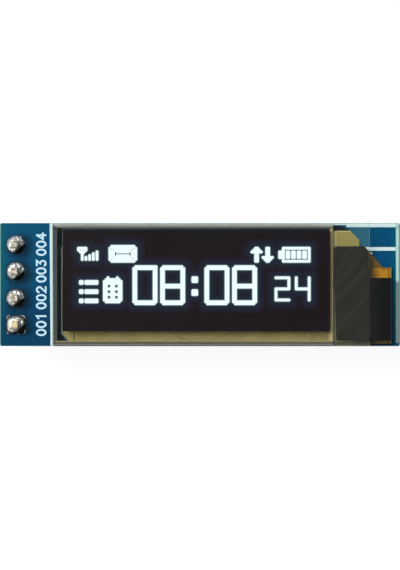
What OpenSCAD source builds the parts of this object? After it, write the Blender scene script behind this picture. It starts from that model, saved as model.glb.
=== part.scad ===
// Small OLED display module: a 128 by 32 glass panel taped to a carrier board,
// its flex circuit folded back under the glass, and a four-pin header soldered
// through the other end.
//
// The origin is the middle of the pin row, on the free face of the header's
// moulding. +X runs along the board towards the far end, +Y runs across it and
// +Z points out of the viewing side. All sizes are in millimetres.

/* [Board] */
// Length of the circuit board
board_l = 38; // [31:0.1:46]
// Width of the circuit board
board_w = 11.7; // [9.7:0.1:14]
// Thickness of the circuit board
board_t = 1.2; // [0.8:0.1:1.6]
// Radius of the board's four corners
board_corner_r = 0.2; // [0.1:0.05:0.6]

/* [Pin header] */
// Distance between neighbouring pins
pin_pitch = 2.54; // [2:0.01:3.1]
// Side of the square pins
pin_side = 0.64; // [0.4:0.01:0.8]
// Length of each pin below the moulding
pin_free = 6; // [3:0.1:12]
// How far each pin stands above the board's front face
pin_above = 1.75; // [1.4:0.05:2.2]
// Length of the taper at a pin's free end
pin_taper = 0.45; // [0.2:0.05:0.8]
// Side of the flat left at a pin's free end
pin_flat = 0.34; // [0.2:0.01:0.38]
// Chamfer round a pin's soldered end
pin_chamfer = 0.08; // [0.05:0.01:0.12]
// Distance from the board's end to the pin row
header_inset = 1.5; // [1.2:0.05:2]
// Height of the header's moulding
moulding_h = 2.54; // [1.5:0.01:3.1]
// Width of the header's moulding
moulding_w = 2.4; // [1.8:0.05:2.9]
// Corner cut between the cells of the moulding
moulding_cut = 0.5; // [0.2:0.05:0.6]

/* [Plated holes and solder] */
// Bore of a plated hole
hole_d = 1; // [0.95:0.01:1.2]
// Diameter of the copper ring round a hole
pad_d = 1.75; // [1.45:0.01:2.1]
// Corner radius of the first pad, which is square
pad_corner_r = 0.22; // [0.1:0.01:0.4]
// Thickness of the plating and of the copper rings
plate_t = 0.05; // [0.03:0.01:0.08]
// Length of each pin left bare above its solder
pin_bare = 0.4; // [0.3:0.05:0.6]
// Radius of the solder's neck where it leaves the dome
neck_r1 = 0.64; // [0.5:0.01:0.7]
// Radius of the solder's neck at its top
neck_r2 = 0.4; // [0.3:0.01:0.5]

/* [Display glass] */
// Distance from the board's header end to the glass
glass_gap_header = 5.05; // [4.2:0.05:6.1]
// Distance from the glass to the board's far end
glass_gap_far = 2.95; // [2.6:0.05:3.6]
// Board left free along each long side of the glass
glass_gap_side = 0.1; // [0.05:0.01:0.5]
// Thickness of the front glass, which carries the display
front_glass_t = 0.55; // [0.4:0.01:0.7]
// Thickness of the rear cover glass
cover_glass_t = 0.5; // [0.4:0.01:0.7]
// How far the front glass overhangs the cover glass
ledge_l = 3.4; // [2.8:0.05:4.2]
// Chamfer along the edges of both glasses
glass_chamfer = 0.05; // [0.02:0.01:0.1]
// Width of the sealing band between the glasses
seal_w = 0.42; // [0.3:0.01:0.6]
// Thickness of the sealing band
seal_t = 0.05; // [0.03:0.01:0.1]
// Depth of the recess in the cover glass
recess_depth = 0.28; // [0.2:0.01:0.32]
// Thickness of the drying sheet in the recess
getter_t = 0.14; // [0.1:0.01:0.17]
// Space round the drying sheet
getter_gap = 1.6; // [1:0.1:2]
// Thickness of the light-emitting layers
emitter_t = 0.03; // [0.02:0.01:0.04]

/* [Polarizer] */
// Thickness of the polarizer
polarizer_t = 0.2; // [0.1:0.01:0.25]
// Glass left clear at the header end
polarizer_gap_header = 0.93; // [0.7:0.01:1.2]
// Glass left clear at the flex end
polarizer_gap_flex = 3.79; // [3.1:0.01:4.6]
// Glass left clear along the upper side
polarizer_gap_top = 0.45; // [0.3:0.01:0.6]
// Glass left clear along the lower side
polarizer_gap_bottom = 1.33; // [1.1:0.01:1.6]
// From the polarizer's header edge to the first column of dots
active_gap_header = 1.46; // [1.2:0.01:1.7]
// From the last column of dots to the polarizer's flex edge
active_gap_flex = 1.51; // [1.2:0.01:1.8]
// From the polarizer's upper edge to the first row of dots
active_gap_top = 1.61; // [1.3:0.01:1.9]
// From the last row of dots to the polarizer's lower edge
active_gap_bottom = 2.53; // [2.1:0.01:3]

/* [Mounting sheet] */
// Thickness of the adhesive sheet under the glass
sheet_t = 0.4; // [0.33:0.01:0.5]
// From the glass's header edge to the sheet
sheet_gap_header = 0.8; // [0.6:0.01:1]
// From the sheet to the glass's flex edge
sheet_gap_flex = 0.95; // [0.8:0.01:1.15]
// From the sheet to the glass's upper side
sheet_gap_top = 0.65; // [0.5:0.01:0.8]
// From the sheet to the glass's lower side
sheet_gap_bottom = 0.24; // [0.2:0.01:0.3]
// Size of the two corner cuts
sheet_cut = 0.85; // [0.5:0.05:1.05]
// Depth of the step in the sheet's header edge
sheet_step = 0.13; // [0.1:0.01:0.16]
// Length of that step, from the upper corner
sheet_step_l = 1.45; // [1.2:0.05:1.75]

/* [Driver chip] */
// Length of the driver chip
chip_l = 7.1; // [5.9:0.1:8.5]
// Width of the driver chip
chip_w = 0.95; // [0.8:0.01:1.15]
// Thickness of the driver chip
chip_t = 0.3; // [0.2:0.01:0.36]
// From the cover glass to the driver chip
chip_gap = 0.4; // [0.3:0.01:0.5]

/* [Flex circuit] */
// Thickness of the flex circuit
flex_t = 0.1; // [0.06:0.01:0.12]
// Width of the flex where it is bonded to the glass
flex_bond_w = 7.2; // [6:0.1:8.6]
// Width of the flex where it is soldered to the board
flex_tail_w = 8.9; // [8.8:0.1:9.2]
// From the glass's lower side to the flex's lower edge
flex_gap_side = 0.15; // [0.1:0.01:0.18]
// From the driver chip to the bonded end
flex_gap_chip = 0.6; // [0.4:0.05:0.75]
// How far the outside of the fold stands beyond the glass
flex_reach = 2.1; // [1.8:0.05:2.5]
// From the outside of the fold to the start of the shoulder
flex_shoulder_start = 0.75; // [0.65:0.05:0.9]
// Length over which the shoulder widens
flex_shoulder_l = 1.45; // [1.2:0.05:1.5]
// From the mounting sheet to the soldered end
flex_gap_sheet = 0.3; // [0.3:0.01:0.4]
// Distance between the soldered fingers
finger_pitch = 0.62; // [0.5:0.01:0.63]
// Width of a soldered finger
finger_w = 0.36; // [0.3:0.01:0.42]
// Length of a soldered finger
finger_l = 0.95; // [0.8:0.05:1.1]
// Thickness of the solder under a finger
finger_t = 0.05; // [0.03:0.01:0.06]

/* [Light-shield tape] */
// Thickness of the tape
tape_t = 0.08; // [0.05:0.01:0.12]
// From the polarizer to the tape
tape_gap = 0.47; // [0.4:0.01:0.56]
// From the glass's upper side to the tape
tape_gap_top = 2.12; // [1.8:0.01:2.5]
// From the glass's lower side to the tape
tape_gap_bottom = 0.43; // [0.35:0.01:0.51]
// From the tape to the glass's flex edge, above the part that goes over it
tape_gap_edge = 0.15; // [0.1:0.01:0.2]
// Width of the part that goes over the glass's edge
tape_wing_w = 5.95; // [5:0.05:6.4]
// Length of the slope beside the glass's edge
tape_slope_l = 0.5; // [0.4:0.05:0.6]
// Angle by which the tape follows the fold
tape_wrap = 80; // [60:1:88]
// Corner cut beside the polarizer
tape_cut_inner = 0.4; // [0.3:0.05:0.5]
// Corner cut beside the glass's flex edge
tape_cut_outer = 0.65; // [0.5:0.05:0.8]

/* [Parts on the back] */
// Length of a capacitor
cap_l = 1.6; // [1.3:0.05:1.9]
// Width of a capacitor
cap_w = 0.8; // [0.6:0.05:1]
// Height of a capacitor
cap_h = 0.8; // [0.5:0.05:1]
// Length of a resistor
res_l = 1.6; // [1.3:0.05:1.9]
// Width of a resistor
res_w = 0.8; // [0.6:0.05:1]
// Height of a resistor
res_h = 0.45; // [0.35:0.05:0.55]
// Length of a capacitor's metal end
cap_end_l = 0.35; // [0.2:0.01:0.42]
// Length of a resistor's metal end
res_end_l = 0.3; // [0.2:0.01:0.36]
// Thickness of the metal ends
end_t = 0.03; // [0.02:0.01:0.05]
// Thickness of the solder under a metal end
land_t = 0.05; // [0.03:0.01:0.08]
// Radius of the solder's fillet against a metal end
fillet_r = 0.26; // [0.2:0.01:0.32]
// Flat lip of solder outside the fillet
fillet_lip = 0.06; // [0.04:0.01:0.1]
// Length of the regulator's body
reg_l = 2.9; // [2.5:0.05:3.4]
// Width of the regulator's body
reg_w = 1.3; // [1.1:0.05:1.55]
// Height of the regulator's body
reg_h = 0.95; // [0.8:0.01:1.1]
// Gap between the regulator's body and the board
reg_gap = 0.12; // [0.1:0.01:0.15]
// How far the regulator's sides slope in
reg_draft = 0.08; // [0.05:0.01:0.1]
// Distance between the two leads on one side
reg_pitch = 1.9; // [1.6:0.05:2.2]
// Width of a lead
lead_w = 0.42; // [0.35:0.01:0.5]
// Thickness of a lead
lead_t = 0.13; // [0.1:0.01:0.16]
// Length of a lead's foot
lead_foot = 0.32; // [0.25:0.01:0.4]
// From the body to the outside of a lead's bend
lead_out = 0.28; // [0.24:0.01:0.34]
// How far a lead reaches into the body
lead_in = 0.25; // [0.2:0.01:0.3]

/* [Hidden] */
$fn = 64;

PIN_N = 4;
FINGER_N = 14;
// how far a cutting shape runs past what it cuts
OVER = 1;

// heights, from the header's free face upwards
z_back = moulding_h + plate_t;
z_front = z_back + board_t;
z_pad = z_front + plate_t;
z_cover = z_front + sheet_t;
z_seal = z_cover + cover_glass_t;
z_glass = z_seal + seal_t;
z_face = z_glass + front_glass_t;

// lengths along the board
x_near = -header_inset;
x_far = board_l - header_inset;
x_glass0 = x_near + glass_gap_header;
x_glass1 = x_far - glass_gap_far;
x_cover1 = x_glass1 - ledge_l;
y_glass = board_w / 2 - glass_gap_side;

// polarizer and the area of the dots
x_pol0 = x_glass0 + polarizer_gap_header;
x_pol1 = x_glass1 - polarizer_gap_flex;
y_pol0 = -y_glass + polarizer_gap_bottom;
y_pol1 = y_glass - polarizer_gap_top;
x_act0 = x_pol0 + active_gap_header;
x_act1 = x_pol1 - active_gap_flex;
y_act0 = y_pol0 + active_gap_bottom;
y_act1 = y_pol1 - active_gap_top;

// mounting sheet
x_sheet0 = x_glass0 + sheet_gap_header;
x_sheet1 = x_glass1 - sheet_gap_flex;
y_sheet0 = -y_glass + sheet_gap_bottom;
y_sheet1 = y_glass - sheet_gap_top;

// driver chip and flex circuit
x_chip0 = x_cover1 + chip_gap;
x_bond0 = x_chip0 + chip_w + flex_gap_chip;
x_tail0 = x_sheet1 + flex_gap_sheet;
x_fold1 = x_glass1 + flex_reach;
y_flex0 = -y_glass + flex_gap_side;
z_tail = z_front + finger_t;
fold_r = (z_glass - z_tail) / 2;
x_fold = x_fold1 - fold_r;
z_fold = z_tail + fold_r;
x_shoulder = x_fold1 - flex_shoulder_start;

// light-shield tape
x_tape0 = x_pol1 + tape_gap;
x_tape1 = x_glass1 - tape_gap_edge;
y_tape0 = -y_glass + tape_gap_bottom;
y_tape1 = y_glass - tape_gap_top;
y_wing1 = y_tape0 + tape_wing_w;
x_slope1 = x_glass1 + tape_slope_l;
slope_mitre = tape_t * tan(atan2(front_glass_t, tape_slope_l) / 2);

// places of the parts on the back: from the pin row, from the middle, and turned
CAPACITORS = [
    [10.6, 2.9, 90],
    [10.6, -2.9, 90],
    [18.2, -2.9, 0],
    [20.9, 3, 90],
    [22.9, 3, 90],
    [24.9, 3, 90],
    [26.9, 3, 90],
];
RESISTORS = [
    [14, 3.3, 0],
    [14, 1.7, 0],
    [18.2, 1.7, 0],
    [21.4, -2.9, 0],
    [24.6, -2.9, 0],
];
REGULATOR = [6.6, 0, 0];

// how each soldered joint came out: lean along X and Y, radius of the dome, height of
// its middle over the pad, then place, radius and height of the lump beside the pin
JOINTS = [
    [-0.02, 0.02, 1.1, -0.14, -0.34, 0.16, 0.46, 0.5],
    [-0.05, 0.03, 0.93, 0.12, -0.3, -0.16, 0.44, 0.55],
    [-0.08, -0.02, 0.9, 0.17, -0.26, 0.1, 0.5, 0.5],
    [-0.04, 0.05, 0.94, 0.13, -0.2, 0.22, 0.48, 0.58],
];

function pin_y(i) = (i - (PIN_N - 1) / 2) * pin_pitch;

// ---- shapes used more than once ----

// flat outline with round corners, centred on its own middle
module round_rect(l, w, r) {
    square([l - 2 * r, w], center = true);
    square([l, w - 2 * r], center = true);
    for (x = [-1, 1], y = [-1, 1])
        translate([x * (l / 2 - r), y * (w / 2 - r)])
            circle(r = r);
}

// an outline in X and Z, carried along Y from y0 to y1
module along_y(y0, y1) {
    translate([0, y1, 0])
        rotate([90, 0, 0])
            linear_extrude(y1 - y0)
                children();
}

// an outline in Y and Z, carried along X from x0 to x1
module along_x(x0, x1) {
    translate([x0, 0, 0])
        rotate([90, 0, 90])
            linear_extrude(x1 - x0)
                children();
}

// bar outline from a0 to a1 and from z0 to z1, with all four corners cut by c
module cut_bar(a0, a1, z0, z1, c) {
    polygon([
        [a0 + c, z0],
        [a1 - c, z0],
        [a1, z0 + c],
        [a1, z1 - c],
        [a1 - c, z1],
        [a0 + c, z1],
        [a0, z1 - c],
        [a0, z0 + c],
    ]);
}

// plate with every edge round its two faces chamfered
module cut_plate(x0, x1, y0, y1, z0, z1, c) {
    intersection() {
        along_y(y0, y1) cut_bar(x0, x1, z0, z1, c);
        along_x(x0, x1) cut_bar(y0, y1, z0, z1, c);
    }
}

// puts a part on the back of the board, its own +Z pointing away from the board
module on_back(at) {
    translate([at[0], at[1], z_back])
        mirror([0, 0, 1])
            rotate([0, 0, at[2]])
                children();
}

// ---- board ----

module pcb() {
    color("#174f74")
        translate([0, 0, z_back])
            linear_extrude(board_t)
                difference() {
                    translate([x_near + board_l / 2, 0])
                        round_rect(board_l, board_w, board_corner_r);
                    for (i = [0 : PIN_N - 1])
                        translate([0, pin_y(i)])
                            circle(d = hole_d + 2 * plate_t);
                }
}

// outline of the copper round one hole: the first pin has a square one
module pad_outline(i) {
    if (i == 0)
        round_rect(pad_d, pad_d, pad_corner_r);
    else
        circle(d = pad_d);
}

module plated_holes() {
    color("goldenrod")
        for (i = [0 : PIN_N - 1])
            translate([0, pin_y(i), z_back - plate_t])
                difference() {
                    union() {
                        linear_extrude(plate_t) pad_outline(i);
                        cylinder(d = hole_d + 2 * plate_t, h = board_t + 2 * plate_t);
                        translate([0, 0, board_t + plate_t])
                            linear_extrude(plate_t) pad_outline(i);
                    }
                    translate([0, 0, -OVER])
                        cylinder(d = hole_d, h = board_t + 2 * plate_t + 2 * OVER);
                }
}

// ---- pin header ----

module pin_bar() {
    translate([-pin_side / 2, -pin_side / 2, -pin_free])
        cube([pin_side, pin_side, pin_free + z_front + pin_above]);
}

// side view of a pin, the same from both sides
module pin_outline() {
    h = pin_side / 2;
    f = pin_flat / 2;
    z0 = -pin_free;
    z1 = z_front + pin_above;
    polygon([
        [-f, z0],
        [f, z0],
        [h, z0 + pin_taper],
        [h, z1 - pin_chamfer],
        [h - pin_chamfer, z1],
        [-h + pin_chamfer, z1],
        [-h, z1 - pin_chamfer],
        [-h, z0 + pin_taper],
    ]);
}

module header_pin(i) {
    color("gold")
        translate([0, pin_y(i), 0])
            intersection() {
                along_y(-pin_side / 2, pin_side / 2) pin_outline();
                along_x(-pin_side / 2, pin_side / 2) pin_outline();
            }
}

module header_pin_1() { header_pin(0); }
module header_pin_2() { header_pin(1); }
module header_pin_3() { header_pin(2); }
module header_pin_4() { header_pin(3); }

module header_moulding() {
    h = moulding_w / 2;
    p = pin_pitch / 2;
    c = moulding_cut;
    color("#161616")
        linear_extrude(moulding_h)
            difference() {
                for (i = [0 : PIN_N - 1])
                    translate([0, pin_y(i)])
                        polygon([
                            [-h, -p + c],
                            [-h + c, -p],
                            [h - c, -p],
                            [h, -p + c],
                            [h, p - c],
                            [h - c, p],
                            [-h + c, p],
                            [-h, p - c],
                        ]);
                for (i = [0 : PIN_N - 1])
                    translate([0, pin_y(i)])
                        square(pin_side, center = true);
            }
}

// solder that fills a plated hole and heaps up round the pin
module solder_joint(i) {
    s = JOINTS[i];
    color("silver")
        translate([0, pin_y(i), 0])
            difference() {
                union() {
                    translate([0, 0, z_back - plate_t])
                        cylinder(d = hole_d, h = board_t + 2 * plate_t);
                    intersection() {
                        translate([0, 0, z_pad])
                            linear_extrude(pin_above)
                                pad_outline(i);
                        union() {
                            translate([s[0], s[1], z_pad + s[3]])
                                sphere(r = s[2]);
                            translate([s[4], s[5], z_pad + s[7]])
                                sphere(r = s[6]);
                            translate([0, 0, z_pad])
                                cylinder(r1 = neck_r1, r2 = neck_r2, h = z_front + pin_above - pin_bare - z_pad);
                        }
                    }
                }
                pin_bar();
            }
}

module solder_joint_1() { solder_joint(0); }
module solder_joint_2() { solder_joint(1); }
module solder_joint_3() { solder_joint(2); }
module solder_joint_4() { solder_joint(3); }

// ---- display panel ----

module mounting_sheet() {
    color("#a89a5c")
        translate([0, 0, z_front])
            linear_extrude(sheet_t)
                polygon([
                    [x_sheet0 + sheet_cut, y_sheet0],
                    [x_sheet1, y_sheet0],
                    [x_sheet1, y_sheet1 - sheet_cut],
                    [x_sheet1 - sheet_cut, y_sheet1],
                    [x_sheet0 + sheet_step, y_sheet1],
                    [x_sheet0 + sheet_step, y_sheet1 - sheet_step_l],
                    [x_sheet0, y_sheet1 - sheet_step_l - sheet_step],
                    [x_sheet0, y_sheet0 + sheet_cut],
                ]);
}

// hollow of the cover glass, inside the sealing band
module recess_outline() {
    translate([x_glass0 + seal_w, -y_glass + seal_w])
        square([x_cover1 - x_glass0 - 2 * seal_w, 2 * (y_glass - seal_w)]);
}

module cover_glass() {
    color("#9fb6b8", 0.4)
        difference() {
            cut_plate(x_glass0, x_cover1, -y_glass, y_glass, z_cover, z_seal, glass_chamfer);
            translate([0, 0, z_seal - recess_depth])
                linear_extrude(recess_depth + OVER)
                    recess_outline();
        }
}

module edge_seal() {
    c = glass_chamfer;
    color("#8b918a")
        translate([0, 0, z_seal])
            linear_extrude(seal_t)
                difference() {
                    translate([x_glass0 + c, -y_glass + c])
                        square([x_cover1 - x_glass0 - 2 * c, 2 * (y_glass - c)]);
                    recess_outline();
                }
}

module getter_sheet() {
    g = seal_w + getter_gap;
    color("#c9c6b8")
        translate([x_glass0 + g, -y_glass + g, z_seal - recess_depth])
            cube([x_cover1 - x_glass0 - 2 * g, 2 * (y_glass - g), getter_t]);
}

module emitter_layers() {
    color("#2a2430")
        translate([x_act0, y_act0, z_glass - emitter_t])
            cube([x_act1 - x_act0, y_act1 - y_act0, emitter_t]);
}

module front_glass() {
    color("#b4c8c8", 0.4)
        cut_plate(x_glass0, x_glass1, -y_glass, y_glass, z_glass, z_face, glass_chamfer);
}

module polarizer() {
    color("#1f1d21")
        translate([x_pol0, y_pol0, z_face])
            cube([x_pol1 - x_pol0, y_pol1 - y_pol0, polarizer_t]);
}

module driver_chip() {
    color("#3c3f46")
        translate([x_chip0, -chip_l / 2, z_glass - chip_t])
            cube([chip_w, chip_l, chip_t]);
}

// ---- flex circuit ----

// side view of the fold: bonded strip, half turn and tail
module fold_outline() {
    translate([x_bond0, z_glass - flex_t])
        square([x_fold - x_bond0, flex_t]);
    translate([x_fold, z_fold])
        intersection() {
            difference() {
                circle(r = fold_r);
                circle(r = fold_r - flex_t);
            }
            translate([0, -fold_r - OVER])
                square([fold_r + OVER, 2 * (fold_r + OVER)]);
        }
    translate([x_tail0, z_tail])
        square([x_fold - x_tail0, flex_t]);
}

module flex_circuit() {
    y1 = y_flex0 + flex_bond_w;
    y2 = y_flex0 + flex_tail_w;
    color("#c8871e") {
        along_y(y_flex0, y1) fold_outline();
        translate([0, 0, z_tail])
            linear_extrude(flex_t)
                polygon([
                    [x_tail0, y_flex0],
                    [x_shoulder, y_flex0],
                    [x_shoulder, y1],
                    [x_shoulder - flex_shoulder_l, y2],
                    [x_tail0, y2],
                ]);
    }
}

module flex_fingers() {
    y0 = y_flex0 + (flex_tail_w - (FINGER_N - 1) * finger_pitch) / 2;
    color("silver")
        for (i = [0 : FINGER_N - 1])
            translate([x_tail0, y0 + i * finger_pitch - finger_w / 2, z_front])
                cube([finger_l, finger_w, finger_t]);
}

// ---- light-shield tape ----

// side view of the tape where it drops off the glass and follows the fold
module wing_outline() {
    m = slope_mitre;
    reach = fold_r + tape_t + OVER;
    polygon([
        [x_tape1, z_face],
        [x_glass1, z_face],
        [x_slope1, z_glass],
        [x_fold, z_glass],
        [x_fold, z_glass + tape_t],
        [x_slope1 + m, z_glass + tape_t],
        [x_glass1 + m, z_face + tape_t],
        [x_tape1, z_face + tape_t],
    ]);
    translate([x_fold, z_fold])
        intersection() {
            difference() {
                circle(r = fold_r + tape_t);
                circle(r = fold_r);
            }
            polygon([
                [0, 0],
                [reach * sin(tape_wrap), reach * cos(tape_wrap)],
                [reach * tan(tape_wrap / 2), reach],
                [0, reach],
            ]);
        }
}

module shield_tape() {
    a = tape_cut_inner;
    b = tape_cut_outer;
    color("#23242a") {
        translate([0, 0, z_face])
            linear_extrude(tape_t)
                polygon([
                    [x_tape0, y_tape0],
                    [x_tape1, y_tape0],
                    [x_tape1, y_tape1 - b],
                    [x_tape1 - b, y_tape1],
                    [x_tape0 + a, y_tape1],
                    [x_tape0, y_tape1 - a],
                ]);
        along_y(y_tape0, y_wing1) wing_outline();
    }
}

// ---- parts on the back ----

// ceramic block of a part whose metal ends are t thick and stand on the solder
module block(l, w, h, t) {
    translate([-l / 2 + t, -w / 2 + t, land_t + t])
        cube([l - 2 * t, w - 2 * t, h - 2 * t]);
}

module metal_ends(l, w, h, e, t) {
    for (s = [-1, 1])
        difference() {
            translate([s * (l - e) / 2, 0, land_t + h / 2])
                cube([e, w, h], center = true);
            block(l, w, h, t);
        }
}

// solder under one metal end and up its outer face, the end's face being at X = 0
module end_solder(e, w) {
    r = fillet_r;
    translate([0, w / 2, 0])
        rotate([90, 0, 0])
            linear_extrude(w) {
                translate([-e, 0])
                    square([e + fillet_lip + r, land_t]);
                translate([0, land_t])
                    difference() {
                        square([r, r]);
                        translate([r, r]) circle(r = r);
                    }
            }
}

module part_solder_pair(l, w, e) {
    for (a = [0, 180])
        rotate([0, 0, a])
            translate([l / 2, 0, 0])
                end_solder(e, w);
}

module capacitor(i) {
    color("#b98f63")
        on_back(CAPACITORS[i])
            block(cap_l, cap_w, cap_h, end_t);
}

module capacitor_1() { capacitor(0); }
module capacitor_2() { capacitor(1); }
module capacitor_3() { capacitor(2); }
module capacitor_4() { capacitor(3); }
module capacitor_5() { capacitor(4); }
module capacitor_6() { capacitor(5); }
module capacitor_7() { capacitor(6); }

module capacitor_ends() {
    color("silver")
        for (at = CAPACITORS)
            on_back(at)
                metal_ends(cap_l, cap_w, cap_h, cap_end_l, end_t);
}

module resistor(i) {
    color("#202226")
        on_back(RESISTORS[i])
            block(res_l, res_w, res_h, end_t);
}

module resistor_1() { resistor(0); }
module resistor_2() { resistor(1); }
module resistor_3() { resistor(2); }
module resistor_4() { resistor(3); }
module resistor_5() { resistor(4); }

module resistor_ends() {
    color("silver")
        for (at = RESISTORS)
            on_back(at)
                metal_ends(res_l, res_w, res_h, res_end_l, end_t);
}

// one bent lead, its body's side face being at X = 0 and its foot on the solder
module lead() {
    zm = land_t + reg_gap + reg_h / 2;
    t = lead_t;
    translate([0, lead_w / 2, 0])
        rotate([90, 0, 0])
            linear_extrude(lead_w)
                polygon([
                    [-lead_in, zm - t / 2],
                    [lead_out - t, zm - t / 2],
                    [lead_out - t, land_t],
                    [lead_out + lead_foot, land_t],
                    [lead_out + lead_foot, land_t + t],
                    [lead_out, land_t + t],
                    [lead_out, zm + t / 2],
                    [-lead_in, zm + t / 2],
                ]);
}

// places of the three leads: two on one side, one on the other
module at_leads() {
    for (s = [-1, 1])
        translate([reg_w / 2, s * reg_pitch / 2, 0])
            children();
    rotate([0, 0, 180])
        translate([reg_w / 2, 0, 0])
            children();
}

// end view of the body, widest at the leads
module reg_outline(w) {
    z0 = land_t + reg_gap;
    polygon([
        [-w / 2 + reg_draft, z0],
        [w / 2 - reg_draft, z0],
        [w / 2, z0 + reg_h / 2],
        [w / 2 - reg_draft, z0 + reg_h],
        [-w / 2 + reg_draft, z0 + reg_h],
        [-w / 2, z0 + reg_h / 2],
    ]);
}

module regulator_body() {
    color("#1b1b1d")
        on_back(REGULATOR)
            difference() {
                intersection() {
                    along_y(-reg_l / 2, reg_l / 2) reg_outline(reg_w);
                    along_x(-reg_w / 2, reg_w / 2) reg_outline(reg_l);
                }
                at_leads() lead();
            }
}

module regulator_leads() {
    color("silver")
        on_back(REGULATOR)
            at_leads() lead();
}

module part_solder() {
    color("lightgray") {
        for (at = CAPACITORS)
            on_back(at)
                part_solder_pair(cap_l, cap_w, cap_end_l);
        for (at = RESISTORS)
            on_back(at)
                part_solder_pair(res_l, res_w, res_end_l);
        on_back(REGULATOR)
            at_leads()
                translate([lead_out + lead_foot + fillet_lip, 0, land_t / 2])
                    translate([-(lead_foot + lead_t + 2 * fillet_lip) / 2, 0, 0])
                        cube([lead_foot + lead_t + 2 * fillet_lip, lead_w + 2 * fillet_lip, land_t], center = true);
    }
}

pcb();
plated_holes();
header_moulding();
header_pin_1();
header_pin_2();
header_pin_3();
header_pin_4();
solder_joint_1();
solder_joint_2();
solder_joint_3();
solder_joint_4();
mounting_sheet();
cover_glass();
edge_seal();
getter_sheet();
emitter_layers();
front_glass();
polarizer();
driver_chip();
flex_circuit();
flex_fingers();
shield_tape();
regulator_body();
regulator_leads();
capacitor_1();
capacitor_2();
capacitor_3();
capacitor_4();
capacitor_5();
capacitor_6();
capacitor_7();
capacitor_ends();
resistor_1();
resistor_2();
resistor_3();
resistor_4();
resistor_5();
resistor_ends();
part_solder();
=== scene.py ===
"""Looks of a small OLED display module, built round its CAD model.

Shapes are worked out in millimetres and turned into metres when a piece is made.
"""

from math import asin, atan2, ceil, cos, degrees, exp, hypot, pi, radians, sin, sqrt

import bmesh
import bpy
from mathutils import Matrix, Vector, noise


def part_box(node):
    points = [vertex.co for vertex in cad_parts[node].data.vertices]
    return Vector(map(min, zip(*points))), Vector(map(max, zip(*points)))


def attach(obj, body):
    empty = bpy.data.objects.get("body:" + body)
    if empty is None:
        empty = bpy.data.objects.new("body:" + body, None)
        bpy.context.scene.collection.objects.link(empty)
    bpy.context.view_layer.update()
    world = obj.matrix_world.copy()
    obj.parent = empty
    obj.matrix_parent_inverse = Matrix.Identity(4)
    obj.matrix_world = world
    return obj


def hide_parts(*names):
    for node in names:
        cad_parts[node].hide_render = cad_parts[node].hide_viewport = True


MM = 0.001
BODY = "root"

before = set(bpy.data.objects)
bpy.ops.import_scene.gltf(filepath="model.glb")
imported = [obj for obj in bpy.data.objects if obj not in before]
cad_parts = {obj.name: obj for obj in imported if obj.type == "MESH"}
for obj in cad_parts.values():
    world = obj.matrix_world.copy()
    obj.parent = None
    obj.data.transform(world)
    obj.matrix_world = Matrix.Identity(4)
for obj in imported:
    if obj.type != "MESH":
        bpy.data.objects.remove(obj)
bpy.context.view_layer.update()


# ---- places, from the CAD model ----


def box_mm(node):
    """Lowest and highest corner of a CAD node, in millimetres."""
    low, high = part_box(node)
    return low / MM, high / MM


BOARD_LO, BOARD_HI = box_mm("pcb")
COVER_HI = box_mm("cover_glass")[1]
FRONT_LO, FRONT_HI = box_mm("front_glass")
POL_HI = box_mm("polarizer")[1]
AREA_LO, AREA_HI = box_mm("emitter_layers")
SHEET_LO, SHEET_HI = box_mm("mounting_sheet")
PADS_LO, PADS_HI = box_mm("plated_holes")
TAIL_LO, TAIL_HI = box_mm("flex_circuit")
PIN_LO, PIN_HI = box_mm("header_pin_1")
TAPE_LO, TAPE_HI = box_mm("shield_tape")

PIN_N = 4
CAPACITOR_N = 7
RESISTOR_N = 5
COLUMNS = 128
ROWS = 32
BOARD_MID = (BOARD_LO + BOARD_HI) / 2
PINS = [(low + high) / 2 for low, high in (box_mm(f"header_pin_{i + 1}") for i in range(PIN_N))]
PITCH = PINS[1].y - PINS[0].y


# ---- node graphs ----

SOCKETS = {
    "color": "Base Color",
    "metallic": "Metallic",
    "roughness": "Roughness",
    "specular": "Specular IOR Level",
    "alpha": "Alpha",
    "normal": "Normal",
    "coat": "Coat Weight",
    "coat_roughness": "Coat Roughness",
    "glow": "Emission Color",
    "glow_strength": "Emission Strength",
}


def rgb(red, green, blue):
    """A colour given as it is seen, 0 to 255, in the linear form that shaders use."""

    def linear(level):
        c = level / 255
        return c / 12.92 if c <= 0.04045 else ((c + 0.055) / 1.055) ** 2.4

    return (linear(red), linear(green), linear(blue), 1.0)


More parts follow.
